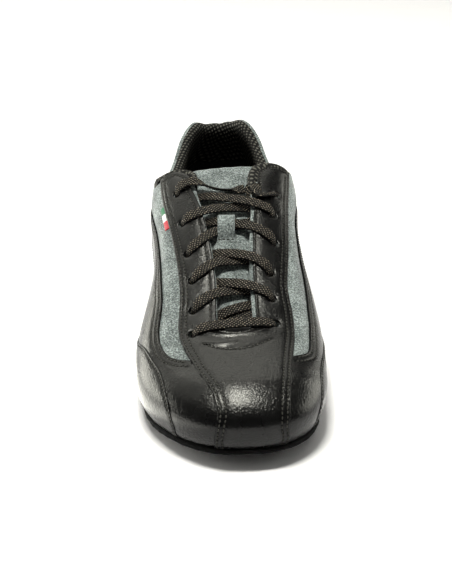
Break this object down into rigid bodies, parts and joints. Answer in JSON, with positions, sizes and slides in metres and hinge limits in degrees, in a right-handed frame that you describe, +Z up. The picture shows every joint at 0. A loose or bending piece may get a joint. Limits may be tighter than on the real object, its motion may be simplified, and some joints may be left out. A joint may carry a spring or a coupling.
{
  "type": "dance sneaker",
  "caption": "Right low-cut dance sneaker with a hollow leather and suede upper, padded mesh collar, flat lace, tongue and a thin sole with a low heel.",
  "frame": {"origin": "middle of the bounding box on the ground under the sole", "axes": "+Z up, toe towards -Y, heel towards +Y, medial side +X"},
  "size_m": [0.0988, 0.2859, 0.0936],
  "materials": {
    "suede": "grey suede, short nap, matt",
    "leather": "black smooth leather, semi-gloss",
    "mesh": "black spacer mesh with pale dots",
    "lace": "black braided flat lace",
    "sole": "black split suede sole, fuzzy edge",
    "heel": "plain black rubber",
    "insole": "plain dark cloth",
    "tab": "woven green, white and red stripes"
  },
  "bodies": {
    "root": {"upper": "suede", "tongue": "suede", "tongue_lace_loop": "suede", "vamp_eyestay": "leather", "wing_lateral": "leather", "wing_medial": "leather", "foxing_lateral": "leather", "foxing_medial": "leather", "collar_lining": "mesh", "insole": "insole", "outsole": "sole", "heel": "heel", "side_tab": "tab", "lace_bar": "lace", "lace_cross_1": "lace", "lace_cross_2": "lace", "lace_cross_3": "lace", "lace_cross_4": "lace", "lace_cross_5": "lace", "lace_end_lateral": "lace", "lace_end_medial": "lace"}
  },
  "joints": []
}
